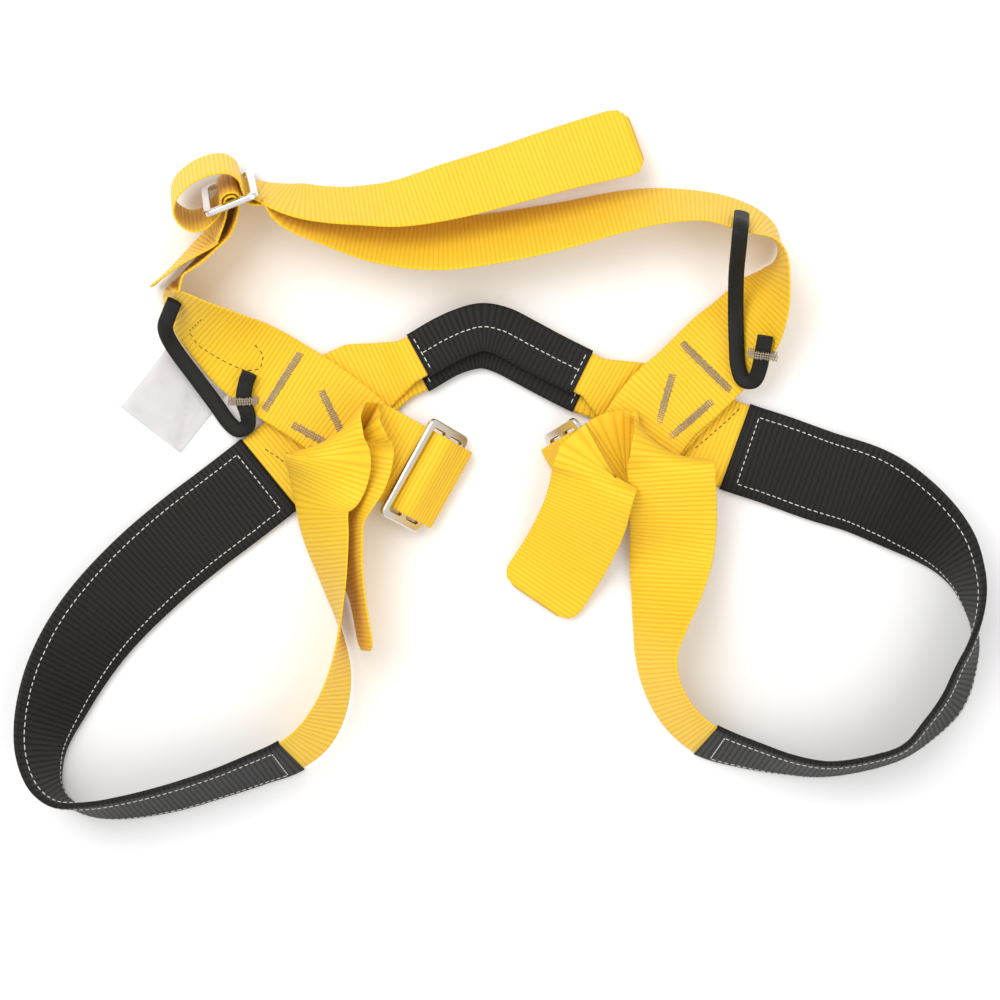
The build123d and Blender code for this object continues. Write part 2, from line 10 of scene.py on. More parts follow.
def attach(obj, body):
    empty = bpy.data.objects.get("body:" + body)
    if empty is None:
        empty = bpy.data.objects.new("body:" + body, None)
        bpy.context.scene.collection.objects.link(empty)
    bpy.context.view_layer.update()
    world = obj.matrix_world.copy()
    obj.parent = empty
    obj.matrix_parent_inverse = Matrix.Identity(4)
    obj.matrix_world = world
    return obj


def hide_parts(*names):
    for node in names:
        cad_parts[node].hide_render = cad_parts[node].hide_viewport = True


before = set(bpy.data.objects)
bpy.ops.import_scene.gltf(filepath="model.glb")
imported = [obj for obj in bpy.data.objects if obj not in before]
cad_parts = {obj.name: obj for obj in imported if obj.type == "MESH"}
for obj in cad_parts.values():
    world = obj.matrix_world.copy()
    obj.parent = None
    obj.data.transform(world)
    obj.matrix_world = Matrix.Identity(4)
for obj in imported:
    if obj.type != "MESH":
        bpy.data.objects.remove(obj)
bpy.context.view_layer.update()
mm = 0.001
print("frame loaded")


class Sock:  # one output socket, so that shader maths reads as plain sums
    def __init__(self, tree, socket):
        self.tree = tree
        self.socket = socket

    def maths(self, operation, *values):
        return node(self.tree, "ShaderNodeMath", {"operation": operation}, dict(enumerate(values)))

    def __add__(self, other):
        return self.maths("ADD", self, other)

    def __radd__(self, other):
        return self.maths("ADD", other, self)

    def __sub__(self, other):
        return self.maths("SUBTRACT", self, other)

    def __rsub__(self, other):
        return self.maths("SUBTRACT", other, self)

    def __mul__(self, other):
        return self.maths("MULTIPLY", self, other)

    def __rmul__(self, other):
        return self.maths("MULTIPLY", other, self)

    def __pow__(self, other):
        return self.maths("POWER", self, other)

    def sine(self):
        return self.maths("SINE", self)

    def size(self):
        return self.maths("ABSOLUTE", self)


def node(tree, kind, settings=None, inputs=None, output=0):  # settings first, then its sockets
    made = tree.nodes.new(kind)
    for key, value in (settings or {}).items():
        if key == "stops":
            ramp = made.color_ramp
            while len(ramp.elements) < len(value):
                ramp.elements.new(0.5)
            for element, (place, colour) in zip(ramp.elements, value):
                element.position = place
                element.color = colour
        else:
            setattr(made, key, value)
    for key, value in (inputs or {}).items():
        if isinstance(value, Sock):
            tree.links.new(value.socket, made.inputs[key])
        else:
            made.inputs[key].default_value = value
    return Sock(tree, made.outputs[output])


def blank(name, fixed):  # a material, its shader, and what is the same all over it
    material = bpy.data.materials.new(name)
    material.use_nodes = True
    tree = material.node_tree
    shader = tree.nodes["Principled BSDF"]
    for key, value in fixed.items():
        shader.inputs[key].default_value = value
    return material, tree, shader


def feed(tree, shader, **links):
    names = {"colour": "Base Color", "roughness": "Roughness", "normal": "Normal"}
    for key, value in links.items():
        tree.links.new(value.socket, shader.inputs[names[key]])


def blend(tree, factor, first, second):  # two colours mixed by a value
    return node(
        tree, "ShaderNodeMix", {"data_type": "RGBA"}, {0: factor, 6: first, 7: second}, output=2
    )


# deep is the weave's darker tone and also the painted shade in the valleys between ribs
clothLook = {
    "yellow": {
        "light": (0.93, 0.60, 0.020, 1),
        "deep": (0.70, 0.36, 0.006, 1),
        "ribPitch": 2.3 * mm,
        "yarnPitch": 0.62 * mm,
        "ribHeight": 0.34 * mm,
        "rough": (0.50, 0.68),
        "sheen": 0.08,
        "gloss": 0.3,
    },
    "black": {
        "light": (0.0125, 0.0118, 0.011, 1),
        "deep": (0.0022, 0.0020, 0.0019, 1),
        "ribPitch": 2.7 * mm,
        "yarnPitch": 0.7 * mm,
        "ribHeight": 0.26 * mm,
        "rough": (0.55, 0.78),
        "sheen": 0.02,
        "gloss": 0.22,
    },
    "blackTube": {
        "light": (0.013, 0.013, 0.0115, 1),
        "deep": (0.0022, 0.0022, 0.0019, 1),
        "ribPitch": 0.9 * mm,
        "yarnPitch": 1.3 * mm,
        "ribHeight": 0.16 * mm,
        "rough": (0.5, 0.7),
        "sheen": 0.02,
        "gloss": 0.22,
    },
}


clothWeave = {  # what every cloth shares: noise scales, and how much each pattern counts
    "driftScale": 90.0,
    "fibreScale": 2600.0,
    "broadScale": 26.0,
    "wander": 0.5 * mm,
    "ribPower": 0.7,
    "yarnShift": 1.2,
    "crossShare": 3,  # cross yarns to a rib
    "heights": {"rib": 0.72, "yarn": 0.2, "cross": 0.03, "fibre": 0.05},
    # the rib share of the tones is painted shade in the valleys between ribs; yarn, fibre and broad
    # are the weave's own tone
    "tonesAndRibShade": {"rib": 0.62, "yarn": 0.14, "fibre": 0.12, "broad": 0.22},
    "bump": 0.85,
    "sheenRough": 0.5,
}


def noise(tree, place, scale, detail=2.0):
    return node(tree, "ShaderNodeTexNoise", {}, {"Vector": place, "Scale": scale, "Detail": detail})


def bumped(tree, height, strength, distance):
    inputs = {"Strength": strength, "Distance": distance, "Height": height}
    return node(tree, "ShaderNodeBump", {}, inputs)


def objectPlace(tree):
    return node(tree, "ShaderNodeTexCoord", {}, {}, output=3)


def clothMaterial(name):  # ribs run across the band, fine yarns along it; the valleys between ribs get painted shade
    look = clothLook[name]
    fixed = {
        "Sheen Weight": look["sheen"],
        "Sheen Roughness": clothWeave["sheenRough"],
        "Specular IOR Level": look["gloss"],
    }
    material, tree, shader = blank(name, fixed)
    place = node(tree, "ShaderNodeUVMap", {"uv_map": "cloth"})
    along = node(tree, "ShaderNodeSeparateXYZ", {}, {0: place})
    across = Sock(tree, along.socket.node.outputs[1])
    drift = noise(tree, place, clothWeave["driftScale"])
    wander = (drift - 0.5) * clothWeave["wander"]
    turn = 2 * math.pi
    rib = ((along + wander) * (math.pi / look["ribPitch"])).sine().size() ** clothWeave["ribPower"]
    shift = rib * clothWeave["yarnShift"]
    yarn = (across * (turn / look["yarnPitch"]) + shift).sine() * 0.5 + 0.5
    crossPitch = look["ribPitch"] / clothWeave["crossShare"]
    cross = (along * (turn / crossPitch)).sine() * 0.5 + 0.5
    fibre = noise(tree, place, clothWeave["fibreScale"], 3.0)
    broad = noise(tree, place, clothWeave["broadScale"], 3.0)
    share = clothWeave["heights"]
    height = rib * share["rib"] + yarn * rib * share["yarn"]
    height = height + cross * share["cross"] + fibre * share["fibre"]
    share = clothWeave["tonesAndRibShade"]
    # painted shade: the rib share pulls the valleys between ribs toward the deep colour
    toneAndRibShade = rib * share["rib"] + yarn * share["yarn"]
    toneAndRibShade = toneAndRibShade + fibre * share["fibre"] + broad * share["broad"]
    low, high = look["rough"]
    feed(
        tree,
        shader,
        colour=blend(tree, toneAndRibShade, look["deep"], look["light"]),
        roughness=high - rib * (high - low),
        normal=bumped(tree, height, clothWeave["bump"], look["ribHeight"]),
    )
    return material


steelLook = {
    "even": (0.80, 0.80, 0.81, 1),
    "dull": (0.66, 0.66, 0.67, 1),
    "bright": (0.86, 0.86, 0.87, 1),
    "markScale": 420.0,
    "markStretch": (1.0, 1.0, 6.0),
    "smearScale": 45.0,
    "rough": {"marks": 0.14, "smears": 0.12, "least": 0.06},
    "bump": (0.12, 0.05 * mm),
}


def steelMaterial():  # polished plate with fine rub marks
    look = steelLook
    material, tree, shader = blank("steel", {"Metallic": 1.0, "Base Color": look["even"]})
    place = objectPlace(tree)
    stretch = node(
        tree, "ShaderNodeMapping", {}, {"Vector": place, "Scale": look["markStretch"]}
    )
    marks = noise(tree, stretch, look["markScale"], 4.0)
    smears = noise(tree, place, look["smearScale"])
    share = look["rough"]
    feed(
        tree,
        shader,
        colour=blend(tree, smears, look["dull"], look["bright"]),
        roughness=marks * share["marks"] + smears * share["smears"] + share["least"],
        normal=bumped(tree, marks, *look["bump"]),
    )
    return material


threadLook = {
    "tackThread": {"light": (0.47, 0.39, 0.29, 1), "deep": (0.15, 0.10, 0.05, 1)},
    "whiteThread": {"light": (0.82, 0.80, 0.75, 1), "deep": (0.55, 0.53, 0.49, 1)},
    "blackThread": {"light": (0.05, 0.03, 0.02, 1), "deep": (0.012, 0.008, 0.005, 1)},
}
threadTwist = {
    "plyScale": 1500.0,
    "stainScale": 260.0,
    "rough": (0.5, 0.2),  # least, and how much the ply adds
    "bump": (0.5, 0.1 * mm),
    "sheen": 0.2,
    "gloss": 0.4,
}


def threadMaterial(name):  # twisted sewing thread
    look, twist = threadLook[name], threadTwist
    fixed = {"Sheen Weight": twist["sheen"], "Specular IOR Level": twist["gloss"]}
    material, tree, shader = blank(name, fixed)
    place = objectPlace(tree)
    ply = noise(tree, place, twist["plyScale"])
    stain = noise(tree, place, twist["stainScale"])
    least, more = twist["rough"]
    feed(
        tree,
        shader,
        colour=blend(tree, ply * 0.5 + stain * 0.5, look["deep"], look["light"]),
        roughness=ply * more + least,
        normal=bumped(tree, ply, *twist["bump"]),
    )
    return material


labelLook = {
    "pale": (0.90, 0.89, 0.89, 1),
    "shade": (0.78, 0.75, 0.76, 1),
    "weaveScale": 1900.0,
    "creaseShadeScale": 70.0,
    "rough": (0.45, 0.2),  # least, and how much the weave adds
    "bump": (0.3, 0.1 * mm),
    "gloss": 0.3,
}


def labelMaterial():  # smooth pale cloth, its creases shown as painted shade
    look = labelLook
    material, tree, shader = blank("label", {"Specular IOR Level": look["gloss"]})
    place = objectPlace(tree)
    weave = noise(tree, place, look["weaveScale"])
    creaseShade = noise(tree, place, look["creaseShadeScale"])
    least, more = look["rough"]
    feed(
        tree,
        shader,
        # painted shade: the crease noise darkens the cloth toward the shade colour
        colour=blend(tree, creaseShade, look["shade"], look["pale"]),
        roughness=weave * more + least,
        normal=bumped(tree, weave, *look["bump"]),
    )
    return material


floorLook = {"Base Color": (0.93, 0.925, 0.925, 1), "Roughness": 0.9, "Specular IOR Level": 0.1}


yellow = clothMaterial("yellow")
black = clothMaterial("black")
blackTube = clothMaterial("blackTube")
steel = steelMaterial()
tackThread = threadMaterial("tackThread")
whiteThread = threadMaterial("whiteThread")
blackThread = threadMaterial("blackThread")
labelCloth = labelMaterial()
print("materials made")

studio = {  # in metres and watts
    "eye": (-0.002, -0.019, 1.3),
    "lens": 91.3,
    "sensor": 36,
    "floor": 4.0,
    "floorDrop": 0.0006,
    "lamps": {
        "key": {"place": (-0.55, 0.55, 1.25), "power": 13, "width": 1.0},
        "fill": {"place": (0.9, -0.5, 1.4), "power": 7, "width": 1.2},
    },
    "sky": (1, 1, 1, 1),
    "skyStrength": 0.80,
}


def makeStudio():  # camera first, then light and floor
    scene = bpy.context.scene
    scene.view_settings.view_transform = "Standard"
    eye = bpy.data.cameras.new("eye")
    eye.lens = studio["lens"]
    eye.sensor_width = studio["sensor"]
    camera = bpy.data.objects.new("eye", eye)
    camera.location = studio["eye"]
    scene.collection.objects.link(camera)
    bpy.context.scene.camera = camera
    for name, values in studio["lamps"].items():
        lamp = bpy.data.lights.new(name, "AREA")
        lamp.energy = values["power"]
        lamp.size = values["width"]
        holder = bpy.data.objects.new(name, lamp)
        holder.location = values["place"]
        holder.rotation_euler = (-Vector(values["place"])).to_track_quat("-Z", "Y").to_euler()
        scene.collection.objects.link(holder)
    world = bpy.data.worlds.new("sky")
    world.use_nodes = True
    background = world.node_tree.nodes["Background"]
    background.inputs[0].default_value = studio["sky"]
    background.inputs[1].default_value = studio["skyStrength"]
    scene.world = world
    half = studio["floor"] / 2
    corners = [(-half, -half, 0), (half, -half, 0), (half, half, 0), (-half, half, 0)]
    ground = bpy.data.meshes.new("floor")
    ground.from_pydata(corners, [], [(0, 1, 2, 3)])
    floor = bpy.data.objects.new("floor", ground)
    floor.location.z = -studio["floorDrop"]
    ground.materials.append(blank("floor", floorLook)[0])
    scene.collection.objects.link(floor)


makeStudio()
print("studio made")


reading = {  # how the bands' solids are read
    "weld": 0.004 * mm,
    "sharp": 1.0,  # radians between two faces that meet at a corner
    "thicknessSlack": 0.05,
    "widthSlack": 0.02,
}


def welded(nodeName):  # a CAD solid's mesh with its doubled corners joined
    bm = bmesh.new()
    bm.from_mesh(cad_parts[nodeName].data)
    bmesh.ops.remove_doubles(bm, verts=bm.verts, dist=reading["weld"])
    bm.verts.ensure_lookup_table()
    return bm


def placed(verts):  # in an order that is the same each run
    return sorted(verts, key=lambda vert: tuple(vert.co))


def layersFrom(start):  # rings of corners, counted outwards along the mesh's edges
    seen = set(start)
    order = [list(start)]
    while order[-1]:
        fresh = []
        for vert in order[-1]:
            for edge in vert.link_edges:
                other = edge.other_vert(vert)
                if other not in seen:
                    seen.add(other)
                    fresh.append(other)
        order.append(fresh)
    return order[:-1]


def onCorner(vert):  # true where the flat face meets the selvedge
    return sum(edge.calc_face_angle(0) > reading["sharp"] for edge in vert.link_edges) >= 2


def ringMates(vert, width, thickness):  # the four corners of the flat end that holds this one
    around = set()
    for edge in vert.link_edges:
        other = edge.other_vert(vert)
        around.add(other)
        around.update(e.other_vert(other) for e in other.link_edges)
    around.discard(vert)
    around = placed(around)

    def pick(length):
        return min(around, key=lambda v: abs((v.co - vert.co).length - length))

    thin, wide = pick(thickness), pick(width)
    corner = thin.co + wide.co - vert.co
    last = min(around, key=lambda v: (v.co - corner).length)
    return [vert, thin, wide, last]


def selvedges(nodeName, width, thickness):  # the band's two edges, ring by ring, from its solid
    bm = welded(nodeName)
    corners = {vert for vert in bm.verts if onCorner(vert)}
    farthest = [v for v in layersFrom([bm.verts[0]])[-1] if v in corners][0]
    order = layersFrom(ringMates(farthest, width, thickness))
    edges = []
    for ring in order:
        spots = [vert.co.copy() for vert in ring if vert in corners]
        pairs = [(a, b) for i, a in enumerate(spots) for b in spots[i + 1 :]]
        if len(spots) == 4:
            near = min(pairs, key=lambda p: (p[0] - p[1]).length)
            far = [spot for spot in spots if spot not in near]
            left, right = (near[0] + near[1]) / 2, (far[0] + far[1]) / 2
            half = (near[0] - near[1]).length / 2
        elif len(spots) > 4 and edges:
            slack = reading["thicknessSlack"] * half
            pairs = [p for p in pairs if abs((p[0] - p[1]).length - 2 * half) < slack]
            middles = [(a + b) / 2 for a, b in pairs]
            if len(middles) < 2:
                continue
            left = min(middles, key=lambda m: (m - edges[-1][0]).length)
            right = min(middles, key=lambda m: (m - edges[-1][1]).length)
            if abs((right - left).length - width) > reading["widthSlack"] * width:
                continue
        else:
            continue
        if edges and (right - left).dot(edges[-1][1] - edges[-1][0]) < 0:
            left, right = right, left
        edges.append((left, right, half))
    bm.free()
    return edges


def between(a, b, c, d, t):  # a point on the curve through b and c
    bend = 2 * a - 5 * b + 4 * c - d
    twist = 3 * b - a - 3 * c + d
    return 0.5 * (2 * b + (c - a) * t + bend * t**2 + twist * t**3)


class Strip:  # a band's run: where a point lies, from how far along and how far across it is
    def __init__(self, edges, finer=2):
        self.left, self.right, self.half = [], [], []
        last = len(edges) - 1
        for i in range(last):
            near = [edges[max(i - 1, 0)], edges[i], edges[i + 1], edges[min(i + 2, last)]]
            for step in range(finer):
                t = step / finer
                self.left.append(between(*[edge[0] for edge in near], t))
                self.right.append(between(*[edge[1] for edge in near], t))
                self.half.append(near[1][2] * (1 - t) + near[2][2] * t)
        self.left.append(edges[-1][0])
        self.right.append(edges[-1][1])
        self.half.append(edges[-1][2])
        self.mids = [(a + b) / 2 for a, b in zip(self.left, self.right)]
        self.ups, self.along = [], [0.0]
        for i, mid in enumerate(self.mids):
            ahead = self.mids[min(i + 1, len(self.mids) - 1)] - self.mids[max(i - 1, 0)]
            wide = self.right[i] - self.left[i]
            self.ups.append(wide.cross(ahead).normalized())
            if i:
                self.along.append(self.along[-1] + (mid - self.mids[i - 1]).length)

    def at(self, index, across, lift):  # a point at a ring, across in metres from the middle
        wide = (self.right[index] - self.left[index]).normalized()
        return self.mids[index] + wide * across + self.ups[index] * lift

    def spot(self, distance, across, lift):  # the same, at a distance along
        i = 0
        while i < len(self.along) - 2 and self.along[i + 1] < distance:
            i += 1
        t = (distance - self.along[i]) / max(self.along[i + 1] - self.along[i], 1e-9)
        return self.at(i, across, lift).lerp(self.at(i + 1, across, lift), min(max(t, 0), 1))

    def part(self, first, last):  # the rings from first to last as a strip of their own
        cut = Strip.__new__(Strip)
        for name in ("left", "right", "half", "mids", "ups", "along"):
            setattr(cut, name, getattr(self, name)[first : last + 1])
        return cut


def addPiece(name, mesh, material, body="harness", stands=()):
    piece = bpy.data.objects.new(name, mesh)
    bpy.context.scene.collection.objects.link(piece)
    mesh.materials.append(material)
    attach(piece, body)
    if stands:
        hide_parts(*stands)
    return piece


def dashed(cadName):  # a node's name as a piece's name
    return cadName.replace("_", "-")


def loopedMesh(name, rings, uvRings, capped):  # skins rings of points, and caps both ends if asked
    mesh = bpy.data.meshes.new(name)
    count = len(rings[0])
    points = [tuple(point) for ring in rings for point in ring]
    faces, marks = [], []
    for r in range(len(rings) - 1):
        for k in range(count):
            m = (k + 1) % count
            faces.append((r * count + k, r * count + m, (r + 1) * count + m, (r + 1) * count + k))
            marks.append([uvRings[r][k], uvRings[r][m], uvRings[r + 1][m], uvRings[r + 1][k]])
    if capped:
        last = (len(rings) - 1) * count
        half = count // 2
        for base, turned in ((0, False), (last, True)):
            source = uvRings[-1] if turned else uvRings[0]
            for k in range(half - 1):
                ring = [k, k + 1, count - 2 - k, count - 1 - k]
                if not turned:
                    ring.reverse()
                faces.append(tuple(base + index for index in ring))
                marks.append([source[index] for index in ring])
    mesh.from_pydata(points, [], faces)
    layer = mesh.uv_layers.new(name="cloth")
    for polygon, corners in zip(mesh.polygons, marks):
        polygon.use_smooth = True
        for loop, corner in zip(polygon.loop_indices, corners):
            layer.data[loop].uv = corner
    mesh.validate()
    return mesh


strapShape = {
    "columns": 16,
    "softPower": 14,  # how far the flat face runs before the selvedge rounds
    "selvedge": 0.25,  # share of the thickness that is left at the selvedge
    "tailReach": 9 * mm,
    "tailRound": 0.9,
}


def strapMesh(name, strip, clip=None):  # woven strap with soft selvedges; clip rounds off its end
    columns, edge = strapShape["columns"], strapShape["selvedge"]
    rings, marks = [], []
    for i, along in enumerate(strip.along):
        wide = strip.right[i] - strip.left[i]
        narrow = clip(along) if clip else 1.0
        ring, mark = [], []
        for side in (1, -1):
            for c in range(columns + 1)[::side]:
                t = 0.5 - 0.5 * math.cos(math.pi * c / columns)
                centred = (t - 0.5) * narrow
                rounding = math.sqrt(max(1 - abs(2 * t - 1) ** strapShape["softPower"], 0))
                lift = strip.half[i] * side * (rounding * (1 - edge) + edge)
                ring.append(strip.mids[i] + wide * centred + strip.ups[i] * lift)
                mark.append((along, centred * wide.length))
        rings.append(ring)
        marks.append(mark)
    return loopedMesh(name, rings, marks, True)


def roundedEnd(width):  # narrows the first few millimetres of a strap, its tail
    reach = strapShape["tailReach"]

    def clip(along):
        if along >= reach:
            return 1.0
        drop = 1 - math.sqrt(max(1 - (1 - along / reach) ** 2, 0))
        return 1 - 2 * reach / width * drop * strapShape["tailRound"]

    return clip


webbing = {"width": 44 * mm, "thickness": 1.4 * mm, "tailNear": 50 * mm}
strips = {}
for cadName, tail in (
    ("leg_webbing_left", (-0.070, -0.095, 0.02)),
    ("leg_webbing_right", (0.016, -0.071, 0.0)),
    ("waist_belt_long", (0.067, 0.164, 0.01)),
    ("waist_belt_short", None),
    ("bridge_webbing_upper", None),
    ("bridge_webbing_lower", None),
):
    edges = selvedges(cadName, webbing["width"], webbing["thickness"])
    lastMiddle = (edges[-1][0] + edges[-1][1]) / 2
    if tail and (lastMiddle - Vector(tail)).length < webbing["tailNear"]:
        edges.reverse()  # a strap with a tail runs from its tail
    strip = Strip(edges)
    strips[cadName] = strip
    clip = roundedEnd(webbing["width"]) if tail else None
    mesh = strapMesh(cadName, strip, clip)
    addPiece(dashed(cadName) + "-woven", mesh, yellow, stands=[cadName])
print("webbing woven")

sleeve = {
    "wall": 0.9 * mm,
    "clearance": 0.3 * mm,
    "puff": 0.25 * mm,
    "sides": 30,
    "squareAcross": 0.32,
    "squareUp": 0.45,
    "hug": 2.4 * mm,  # a strap's edge this near to a sleeve is inside it
    "phaseSpan": 6.28,
    "creases": ((160, 90), (61, 0), (310, -240)),  # waves to a metre along, and across
    "fineCrease": 0.5,
    "undersideShift": 0.1,  # keeps the weave of the two faces apart
}


def flattened(value, power):  # a cosine or sine pushed towards its ends, keeping its sign
    return math.copysign(abs(value) ** power, value)


def sleeveMesh(name, strip, seed):  # a flat woven tube round a strap, a little puffed and creased
    draw = random.Random(seed)
    phases = [draw.uniform(0, sleeve["phaseSpan"]) for _ in sleeve["creases"]]
    (longRun, longLean), (slowRun, _), (fineRun, fineLean) = sleeve["creases"]
    count = sleeve["sides"]
    rings, marks = [], []

    def addSection(i, inset, ripple):
        ring, mark = [], []
        wide = (strip.right[i] - strip.left[i]).length
        x = wide / 2 + sleeve["clearance"] + sleeve["wall"] - inset
        y = strip.half[i] + sleeve["clearance"] + sleeve["wall"] - inset
        s = strip.along[i]
        for k in range(count):
            t = 2 * math.pi * (k + 0.5) / count
            u = flattened(math.cos(t), sleeve["squareAcross"]) * x
            v = flattened(math.sin(t), sleeve["squareUp"]) * y
            wave = math.sin(s * longRun + phases[0] + u * longLean)
            wave *= math.sin(s * slowRun + phases[1])
            wave += sleeve["fineCrease"] * math.sin(s * fineRun + phases[2] + u * fineLean)
            push = -abs(ripple * wave) * math.sin(t) ** 2
            ring.append(strip.at(i, u, v + math.copysign(1, v) * push))
            mark.append((s, u + (sleeve["undersideShift"] if v < 0 else 0)))
        rings.append(ring)
        marks.append(mark)

    for i in range(len(strip.mids)):  # the outside, then back along the inside
        addSection(i, 0.0, sleeve["puff"])
    for i in range(len(strip.mids) - 1, -1, -1):
        addSection(i, sleeve["wall"], 0.0)
    rings.append(rings[0])
    marks.append(marks[0])
    mesh = loopedMesh(name, rings, marks, False)
    bm = bmesh.new()
    bm.from_mesh(mesh)
    bmesh.ops.remove_doubles(bm, verts=bm.verts, dist=1e-6)
    bmesh.ops.recalc_face_normals(bm, faces=bm.faces)
    bm.to_mesh(mesh)
    bm.free()
    return mesh


def sleevedPart(stripName, cadName):  # the stretch of a strap that its sleeve's solid covers
    strip = strips[stripName]
    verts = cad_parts[cadName].data.vertices
    tree = KDTree(len(verts))
    for k, vert in enumerate(verts):
        tree.insert(vert.co, k)
    tree.balance()

    def inside(place):
        return tree.find(place)[2] < sleeve["hug"]

    sides = enumerate(zip(strip.left, strip.right))
    covered = [i for i, (left, right) in sides if inside(left) and inside(right)]
    return strip.part(min(covered), max(covered))


sleeved = {}
for stripName, cadName, seed in (
    ("leg_webbing_left", "leg_sleeve_left", 3),
    ("leg_webbing_right", "leg_sleeve_right", 5),
    ("bridge_webbing_upper", "bridge_sleeve_upper", 7),
    ("bridge_webbing_lower", "bridge_sleeve_lower", 9),
):
    part = sleevedPart(stripName, cadName)
    sleeved[cadName] = part
    mesh = sleeveMesh(cadName, part, seed)
    addPiece(dashed(cadName) + "-cloth", mesh, black, stands=[cadName])
print("sleeves made")


threadShape = {
    "sides": 6,
    "swell": ((0.0, 0.35), (0.14, 0.85), (0.5, 1.0), (0.86, 0.85), (1.0, 0.35)),
    "sink": 0.8,  # how far a thread's ends dip into the cloth, to its radius
    "shortest": 1e-6,
}


def threadRuns(name, runs, radius, material, stands=()):  # short rounded threads
    points, faces = [], []
    sides, swells = threadShape["sides"], threadShape["swell"]
    for start, end, up in runs:
        run = end - start
        if run.length < threadShape["shortest"]:
            continue
        side = run.cross(up).normalized()
        over = side.cross(run).normalized()
        base = len(points)
        for t, swell in swells:
            centre = start.lerp(end, t) - over * radius * (1 - swell) * threadShape["sink"]
            for k in range(sides):
                a = 2 * math.pi * k / sides
                points.append(centre + (side * math.cos(a) + over * math.sin(a)) * radius * swell)
        for low in range(base, base + (len(swells) - 1) * sides, sides):
            for k in range(sides):
                m = (k + 1) % sides
                faces.append((low + k, low + m, low + sides + m, low + sides + k))
        last = base + (len(swells) - 1) * sides
        faces.append(tuple(base + k for k in range(sides - 1, -1, -1)))
        faces.append(tuple(last + k for k in range(sides)))
    mesh = bpy.data.meshes.new(name)
    mesh.from_pydata([tuple(p) for p in points], [], faces)
    for polygon in mesh.polygons:
        polygon.use_smooth = True
    return addPiece(name, mesh, material, stands=stands)


stitching = {
    "dash": 2.1 * mm,
    "gap": 1.0 * mm,
    "radius": 0.27 * mm,
    "inset": 5.0 * mm,
    "endInset": 7.0 * mm,
    "bridgeInset": 2.5 * mm,
    "bridgeHalf": 9 * mm,
    "covers": (0.16, 0.84),  # the part of each step that its dash takes
    "jitter": 0.04,
    "wobble": 0.1,
}


def dashes(strip, path, lift, draw):  # dashes along a path of (along, across) points
    jitter, wobble = stitching["jitter"], stitching["wobble"]
    first, last = stitching["covers"]
    runs = []
    for (s0, u0), (s1, u1) in zip(path, path[1:]):

        def spot(t, aside, height):
            return strip.spot(s0 + (s1 - s0) * t, u0 + (u1 - u0) * t + aside, height)

        length = math.hypot(s1 - s0, u1 - u0)
        steps = max(int(length / (stitching["dash"] + stitching["gap"])), 1)
        for k in range(steps):
            a = (k + first + draw.uniform(-jitter, jitter)) / steps
            b = (k + last + draw.uniform(-jitter, jitter)) / steps
            start = spot(a, draw.uniform(-wobble, wobble) * mm, lift)
            end = spot(b, draw.uniform(-wobble, wobble) * mm, lift)
            above = spot((a + b) / 2, 0, lift + math.copysign(mm, lift))
            runs.append((start, end, above - (start + end) / 2))
    return runs


def rectangle(strip, inset, endInset):  # a row all round a sleeve, inside its edges
    first, last = strip.along[0] + endInset, strip.along[-1] - endInset
    half = (strip.right[0] - strip.left[0]).length / 2 + sleeve["wall"] - inset
    return [(first, -half), (last, -half), (last, half), (first, half), (first, -half)]


draw = random.Random(11)
for side in ("left", "right"):
    part = sleeved["leg_sleeve_" + side]
    lift = part.half[0] + sleeve["clearance"] + sleeve["wall"]
    outline = rectangle(part, stitching["inset"], stitching["endInset"])
    runs = dashes(part, outline, lift, draw) + dashes(part, outline, -lift, draw)
    name, radius = "sleeve-rows-" + side, stitching["radius"]
    stands = ["sleeve_stitching_" + side]
    threadRuns(name, runs, radius, whiteThread, stands=stands)
for level in ("upper", "lower"):
    part = sleeved["bridge_sleeve_" + level]
    lift = part.half[0] + sleeve["clearance"] + sleeve["wall"]
    inset, wide = stitching["bridgeInset"], stitching["bridgeHalf"]
    first, last = part.along[0] + inset, part.along[-1] - inset
    runs = []
    for way in (1, -1):
        runs += dashes(part, [(first, -wide), (first, wide)], lift * way, draw)
        runs += dashes(part, [(last, -wide), (last, wide)], lift * way, draw)
        runs += dashes(part, [(first, 0), (last, 0)], lift * way, draw)
    threadRuns("bridge-rows-" + level, runs, stitching["radius"], whiteThread)

lowWins = 0.02  # how much a lower layer is passed over for one that is higher


def onFace(strip, place, reach):  # the spot of a strip's last stretch that is under a place
    best = None
    for i in range(len(strip.mids)):
        if strip.along[-1] - strip.along[i] > reach:
            continue
        wide = strip.right[i] - strip.left[i]
        flat = Vector((wide.x, wide.y))
        gap = Vector(place) - Vector((strip.mids[i].x, strip.mids[i].y))
        across = max(min(gap.dot(flat) / max(flat.length_squared, 1e-9), 0.5), -0.5)
        miss = (gap - flat * across).length + abs(strip.mids[i].z) * lowWins
        if best is None or miss < best[0]:
            best = (miss, strip.along[i], across * wide.length, strip.ups[i].z)
    return best[1:]


beltRows = {
    "outline": [
        (-0.152, 0.073),
        (-0.157, 0.070),
        (-0.159, 0.066),
        (-0.156, 0.061),
        (-0.130, 0.046),
    ],
    "outlineEnd": [(-0.126, 0.060), (-0.121, 0.054), (-0.124, 0.048), (-0.130, 0.046)],
    "hipLeft": [(-0.123, 0.007), (-0.103, -0.004)],
    "hipRight": [(0.121, 0.028), (0.098, 0.007)],
}
for rowName, stripName, reach in (
    ("outline", "waist_belt_short", 9.0),
    ("outlineEnd", "waist_belt_short", 9.0),
    ("hipLeft", "leg_webbing_left", 0.08),
    ("hipRight", "leg_webbing_right", 0.08),
):
    strip = strips[stripName]
    spots = [onFace(strip, place, reach) for place in beltRows[rowName]]
    lift = strip.half[0] * (1 if spots[0][2] > 0 else -1)
    runs = dashes(strip, [(s, u) for s, u, _ in spots], lift, draw)
    threadRuns("belt-row-" + rowName, runs, stitching["radius"], blackThread)
print("rows sewn")

